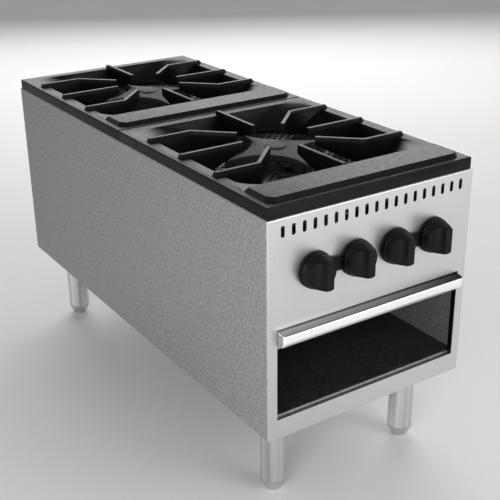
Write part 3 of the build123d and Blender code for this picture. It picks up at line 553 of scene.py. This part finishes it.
def index_mark(n):
    """A small bar that lies on the cone's slope, just in front of its rim."""
    along = (CONE_FRONT - CONE_BACK).normalized()
    outward = Vector((1, 0, 0)).cross(along)
    turn = Matrix((Vector((1, 0, 0)), along, outward)).transposed().to_4x4()
    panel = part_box("front_panel")[0].y
    axis = Vector((middle_of(f"knob_{n}").x, panel, middle_of(f"knob_{n}").z))
    at = axis + CONE_BACK + along * MARK_LENGTH
    mesh = bmesh.new()
    size = Matrix.Diagonal((MARK_WIDTH, MARK_LENGTH, 2 * MARK_HEIGHT, 1))
    bmesh.ops.create_cube(mesh, size=1, matrix=Matrix.Translation(at) @ turn @ size)
    bmesh.ops.bevel(
        mesh, geom=mesh.edges[:], offset=MARK_ROUND, segments=2, profile=0.5, affect="EDGES", material=-1
    )
    mark = bpy.data.objects.new(f"knob_{n}_mark", bpy.data.meshes.new(f"knob_{n}_mark"))
    mesh.to_mesh(mark.data)
    mesh.free()
    bpy.context.scene.collection.objects.link(mark)
    mark.data.materials.append(knob_plastic)
    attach(mark, f"knob_{n}")
    return mark


for n in range(1, 5):
    print(index_mark(n).name)

# %% [markdown]
# ## The star burners
#
# A star burner is two castings. The lower one is a hollow star that the gas flows into, and
# the cap closes it. Their four arms lie under the four straight fingers, so that the flames
# rise between the fingers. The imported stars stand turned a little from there: these copies are
# turned in line, and their arms run to narrower points. Only the rings of the two necks stay.

# %% Turn and sharpen the stars
STAR_TURN = math.radians(-14.0)
NECK_STEP = 56.0 * MM
NECK_RINGS = (20.0 * MM, 14.5 * MM)
ARM_REACH = 118.0 * MM
ARM_TAPER = 0.45
TAPER_FROM = 0.4
RING_SLACK = 0.3 * MM
NECK_FALL = 10.0 * MM


def turned_star(centre):
    """Returns a step that turns a star about its centre and thins the ends of its arms."""

    def reshape(mesh):
        for vertex in mesh.verts:
            flat = Vector((vertex.co.x - centre.x, vertex.co.y - centre.y))
            on_ring = any(
                abs((flat - Vector((0, shift))).length - ring) < RING_SLACK
                for shift in (0, -NECK_STEP)
                for ring in NECK_RINGS
            )
            if on_ring and vertex.co.z < centre.z:
                continue
            flat.rotate(Matrix.Rotation(STAR_TURN, 2))
            reach = max(abs(flat.x), abs(flat.y)) / ARM_REACH
            thinner = 1 - ARM_TAPER * max(0, reach - TAPER_FROM) / (1 - TAPER_FROM)
            if abs(flat.x) > abs(flat.y):
                flat.y *= thinner
            else:
                flat.x *= thinner
            vertex.co.x = centre.x + flat.x
            vertex.co.y = centre.y + flat.y

    return reshape


for side in ("front", "rear"):
    cap_low, cap_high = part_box(f"{side}_burner_cap")
    centre = (cap_low + cap_high) / 2
    centre.z = cap_low.z - NECK_FALL
    for part, round_mm in (("cap", 0.8), ("body", 0.5)):
        copy = rounded_copy(f"{side}_burner_{part}", round_mm, reshape=turned_star(centre))
        print(copy.name, len(copy.data.polygons), "faces")

# %% [markdown]
# ## The perforated baffles
#
# Under each burner lies a sheet that is full of round holes, so that spills fall through to
# the crumb tray. The holes stand in staggered rows, so close that only small islands of
# metal and thin bridges are left between them. A field of short ten-sided pegs is cut out of
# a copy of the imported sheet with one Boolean. No peg comes near the edge of the sheet, the
# hole round the burner's necks or the pilot.

# %% Holes in staggered rows
HOLE_RADIUS = 5.1 * MM
ROW_STEP = 9.0 * MM
HOLE_STEP = 20.0 * MM
BAFFLE_MARGIN = 10.0 * MM
NECK_CLEARANCE = 32.0 * MM
PILOT_AT = Vector((38.6 * MM, 64.3 * MM))
PILOT_CLEARANCE = 20.0 * MM
PEG_SIDES = 10


def clear_of_openings(spot):
    """True where a hole may be: off the slot round the two necks and off the pilot."""
    along = min(max(spot.y, -NECK_STEP), 0.0)
    off_necks = (spot - Vector((0, along))).length > NECK_CLEARANCE
    return off_necks and (spot - PILOT_AT).length > PILOT_CLEARANCE


def hole_pegs(low, high, centre_y):
    """All the pegs for one sheet, as one mesh."""
    mesh = bmesh.new()
    reach_x = high.x - BAFFLE_MARGIN - HOLE_RADIUS
    reach_y = (high.y - low.y) / 2 - BAFFLE_MARGIN - HOLE_RADIUS
    rows = int(reach_y / ROW_STEP)
    for row in range(-rows, rows + 1):
        shift = HOLE_STEP / 2 if row % 2 else 0.0
        columns = int(reach_x / HOLE_STEP) + 1
        for column in range(-columns, columns + 1):
            x = column * HOLE_STEP + shift
            y = (low.y + high.y) / 2 + row * ROW_STEP
            if abs(x) > reach_x or not clear_of_openings(Vector((x, y - centre_y))):
                continue
            at = Matrix.Translation((x, y, (low.z + high.z) / 2))
            bmesh.ops.create_cone(
                mesh, cap_ends=True, segments=PEG_SIDES, radius1=HOLE_RADIUS, radius2=HOLE_RADIUS,
                depth=3 * (high.z - low.z), matrix=at,
            )
    return mesh


# %% The perforated sheets
for side in ("front", "rear"):
    node = f"{side}_baffle"
    cap_low, cap_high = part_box(f"{side}_burner_cap")
    sheet = merged_copy(node, f"{node}_perforated")
    cut_away(sheet, hole_pegs(*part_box(node), (cap_low.y + cap_high.y) / 2))
    sheet.data.materials.clear()
    sheet.data.materials.append(finishes[slot_of[node]])
    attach(sheet, body_of[node])
    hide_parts(node)
    print(sheet.name, len(sheet.data.polygons), "faces")

# %% [markdown]
# ## Ribs between the burner ports
#
# The flames come out of a row of slots all round each star, just under its cap. The packed
# castings leave one open slot there. Small iron ribs, a few millimetres apart along the edge
# of the cap, divide it into ports.

# %% Walk round the star's edge and set a rib every few millimetres
RIB_STEP = 6.5 * MM
RIB_SIZE = (2.4 * MM, 4.2 * MM, 2.2 * MM)
RIB_INSET = 3.0 * MM


def edge_of_star(cap):
    """The points round the underside of the cap, in order."""
    mesh = bmesh.new()
    mesh.from_mesh(cap.data)
    downward = (face for face in mesh.faces if face.normal.z < -0.99)
    underside = max(downward, key=lambda face: face.calc_area())
    points = [vertex.co.copy() for vertex in underside.verts]
    mesh.free()
    return points


def port_ribs(side):
    points = edge_of_star(bpy.data.objects[f"{side}_burner_cap_rounded"])
    centre = sum(points, Vector()) / len(points)
    mesh = bmesh.new()
    left_over = 0.0
    for here, there in zip(points, points[1:] + points[:1]):
        run = there - here
        along = run.normalized()
        inward = Vector((0, 0, 1)).cross(along)
        if inward.dot(centre - here) < 0:
            inward.negate()
        travelled = left_over
        while travelled < run.length:
            at = here + along * travelled + inward * RIB_INSET - Vector((0, 0, RIB_SIZE[2] / 2))
            turn = Matrix((along, inward, Vector((0, 0, 1)))).transposed().to_4x4()
            size = Matrix.Diagonal((*RIB_SIZE, 1))
            bmesh.ops.create_cube(mesh, size=1, matrix=Matrix.Translation(at) @ turn @ size)
            travelled += RIB_STEP
        left_over = travelled - run.length
    bmesh.ops.recalc_face_normals(mesh, faces=mesh.faces)
    ribs = bpy.data.objects.new(f"{side}_burner_ribs", bpy.data.meshes.new(f"{side}_burner_ribs"))
    mesh.to_mesh(ribs.data)
    mesh.free()
    bpy.context.scene.collection.objects.link(ribs)
    ribs.data.materials.append(burner_iron)
    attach(ribs, "body")
    return ribs


for side in ("front", "rear"):
    ribs = port_ribs(side)
    print(ribs.name, len(ribs.data.polygons) // 6, "ribs")

# %% [markdown]
# ## Screw heads and the inlet's thread
#
# The screws of the legs and of the rear corners have crossed slots, and the end of the
# supply pipe has a thread. The slots are two bars cut out of each head, one bar at a time:
# cut together, bars that cross each other left nothing of the screws. The thread is a zigzag
# spun once round the pipe and closed on its inner side. Its rings don't climb as a real
# thread does, which doesn't show at this size.

# %% Crossed slots in the screw heads
SLOT_SIZE = (4.6 * MM, 0.9 * MM, 2.2 * MM)


def loose_parts(mesh):
    """The vertices of each separate part of a mesh."""
    waiting = set(mesh.verts)
    while waiting:
        part = set()
        to_visit = [waiting.pop()]
        while to_visit:
            vertex = to_visit.pop()
            part.add(vertex)
            near = {edge.other_vert(vertex) for edge in vertex.link_edges} & waiting
            waiting -= near
            to_visit.extend(near)
        yield part


def slots_for(screws, angle):
    """One bar across each head. A screw is longer than its head is wide, so its longer side
    tells its direction: the rear screws face +Y and the others face down."""
    source = bmesh.new()
    source.from_mesh(screws.data)
    mesh = bmesh.new()
    for part in loose_parts(source):
        low = Vector(min(v.co[axis] for v in part) for axis in range(3))
        high = Vector(max(v.co[axis] for v in part) for axis in range(3))
        at = (low + high) / 2
        if high.y - low.y > high.z - low.z:
            at.y = high.y
            face = Matrix.Rotation(math.radians(90), 4, "X")
        else:
            at.z = low.z
            face = Matrix.Identity(4)
        turn = face @ Matrix.Rotation(math.radians(angle), 4, "Z") @ Matrix.Diagonal((*SLOT_SIZE, 1))
        bmesh.ops.create_cube(mesh, size=1, matrix=Matrix.Translation(at) @ turn)
    source.free()
    return mesh


screws = merged_copy("screws", "screws_slotted")
for angle in (45, 135):
    cut_away(screws, slots_for(screws, angle))
    print(screws.name, len(screws.data.polygons), "faces")
screws.data.materials.clear()
screws.data.materials.append(screw_zinc)
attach(screws, "body")
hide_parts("screws")

# %% The thread of the gas inlet
THREAD_PITCH = 1.8 * MM
THREAD_ROOT = 12.9 * MM
THREAD_CREST = 13.35 * MM
THREAD_INSIDE = 12.2 * MM
THREAD_LENGTH = 19.0 * MM

inlet = Vector(frame["record"]["mounts"][0]["pos_m"])
inlet.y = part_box("supply_pipe")[1].y
thread_mesh = bmesh.new()
turns = int(THREAD_LENGTH / THREAD_PITCH)
profile = [(THREAD_INSIDE, 0.0)]
for turn in range(turns):
    profile.append((THREAD_ROOT, -turn * THREAD_PITCH))
    profile.append((THREAD_CREST, -(turn + 0.5) * THREAD_PITCH))
profile += [(THREAD_ROOT, -turns * THREAD_PITCH), (THREAD_INSIDE, -turns * THREAD_PITCH)]
corners = [thread_mesh.verts.new(inlet + Vector((reach, back, 0))) for reach, back in profile]
for here, there in zip(corners, corners[1:] + corners[:1]):
    thread_mesh.edges.new((here, there))
bmesh.ops.spin(
    thread_mesh, geom=thread_mesh.verts[:] + thread_mesh.edges[:], cent=inlet, axis=(0, 1, 0),
    angle=math.radians(360), steps=48, use_merge=True,
)
bmesh.ops.remove_doubles(thread_mesh, verts=thread_mesh.verts, dist=0.001 * MM)
bmesh.ops.recalc_face_normals(thread_mesh, faces=thread_mesh.faces)
thread = bpy.data.objects.new("inlet_thread", bpy.data.meshes.new("inlet_thread"))
thread_mesh.to_mesh(thread.data)
thread_mesh.free()
bpy.context.scene.collection.objects.link(thread)
thread.data.materials.append(pipe_black)
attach(thread, "body")
print(thread.name, turns, "turns")

# %% [markdown]
# ## Floor and light
#
# The floor is a wide, flat, pale sheet. A large soft light above and behind the range turns
# the flat faces of the tops grey. A second one, in front and a little to the right, brightens
# the front panel, and a small one at the front left corner lights the side, which stays a step
# darker than the front. The knobs' soft dark halos are their reflections in the satin panel.


# %% The floor and the lights
def stage_material():
    material, tree, shader, place = start_material("pale_floor", grey(0.8), 0.7)
    patches = noise(tree, place, 1.5, detail=2.0)
    tree.links.new(between(tree, patches, grey(0.79), grey(0.81)), shader.inputs["Base Color"])
    return material


floor_mesh = bmesh.new()
bmesh.ops.create_grid(floor_mesh, x_segments=2, y_segments=2, size=12.0)
floor = bpy.data.objects.new("studio_floor", bpy.data.meshes.new("studio_floor"))
floor_mesh.to_mesh(floor.data)
floor_mesh.free()
floor.data.materials.append(stage_material())
bpy.context.scene.collection.objects.link(floor)

WARM_WHITE = (1.0, 0.99, 0.975)


def soft_light(name, at, towards, size, watts):
    light = bpy.data.lights.new(name, "AREA")
    light.shape = "RECTANGLE"
    light.size, light.size_y = size
    light.energy = watts
    light.color = WARM_WHITE
    lamp = bpy.data.objects.new(name, light)
    lamp.location = at
    lamp.rotation_euler = (Vector(towards) - Vector(at)).to_track_quat("-Z", "Y").to_euler()
    bpy.context.scene.collection.objects.link(lamp)
    return lamp


middle = (0.0, 0.0, 0.5)
soft_light("behind", (1.9, 3.1, 2.2), middle, (4.4, 2.4), 106)
soft_light("front_right", (1.3, -3.1, 1.3), middle, (2.2, 2.2), 44)
soft_light("left", (-1.6, -1.6, 0.7), (-0.23, -0.7, 0.3), (1.0, 1.0), 19)

world = bpy.data.worlds.new("studio")
world.use_nodes = True
world.node_tree.nodes["Background"].inputs["Color"].default_value = (*WARM_WHITE, 1)
world.node_tree.nodes["Background"].inputs["Strength"].default_value = 0.38
bpy.context.scene.world = world

# %% [markdown]
# ## The camera
#
# The photograph was taken from the left of the front, a little above the tops. The camera's
# place and lens were fitted to the corners of the range in the photograph, together with the
# proportions of the range. The usual plan of such ranges then gave the scale.

# %% Place the camera
CAMERA_PLACE = Vector((-1.0418, -1.7284, 1.1823))
VIEW_TURN = math.radians(33.14)
VIEW_DROP = math.radians(23.69)
ROLL = math.radians(-0.74)
LENS_MM = 69.66
level = math.cos(VIEW_DROP)
view = Vector((math.sin(VIEW_TURN) * level, math.cos(VIEW_TURN) * level, -math.sin(VIEW_DROP)))
camera = bpy.data.objects.new("camera", bpy.data.cameras.new("camera"))
camera.data.lens = LENS_MM
camera.data.sensor_width = 36.0
camera.data.clip_start = 0.05
turn = view.to_track_quat("-Z", "Y").to_matrix().to_4x4() @ Matrix.Rotation(ROLL, 4, "Z")
camera.matrix_world = Matrix.Translation(CAMERA_PLACE) @ turn
bpy.context.scene.collection.objects.link(camera)
bpy.context.scene.camera = camera
bpy.context.scene.view_settings.view_transform = "Standard"
